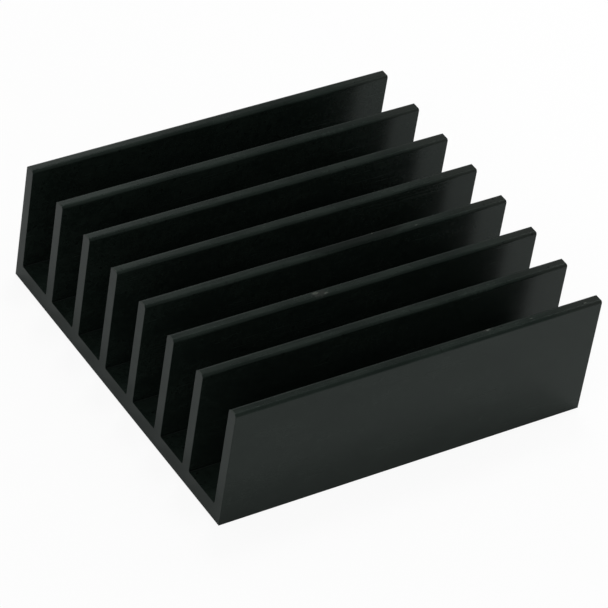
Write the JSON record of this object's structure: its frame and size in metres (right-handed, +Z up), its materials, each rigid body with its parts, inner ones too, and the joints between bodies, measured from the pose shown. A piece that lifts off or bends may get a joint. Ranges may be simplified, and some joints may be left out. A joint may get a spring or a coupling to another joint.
{
  "type": "extruded heat sink",
  "caption": "Black anodised aluminium extrusion: a flat rectangular base plate with straight upright cooling fins and open air channels between them.",
  "frame": {"origin": "middle of the flat underside", "axes": "+X across the fins, +Y along the extrusion and the air channels, +Z up from the underside to the fin tips"},
  "size_m": [0.0576, 0.06, 0.0201],
  "materials": {
    "black_anodised": "matt black anodised over the extruded and sawn surfaces"
  },
  "bodies": {
    "root": {"heatsink": "black_anodised"}
  },
  "joints": []
}
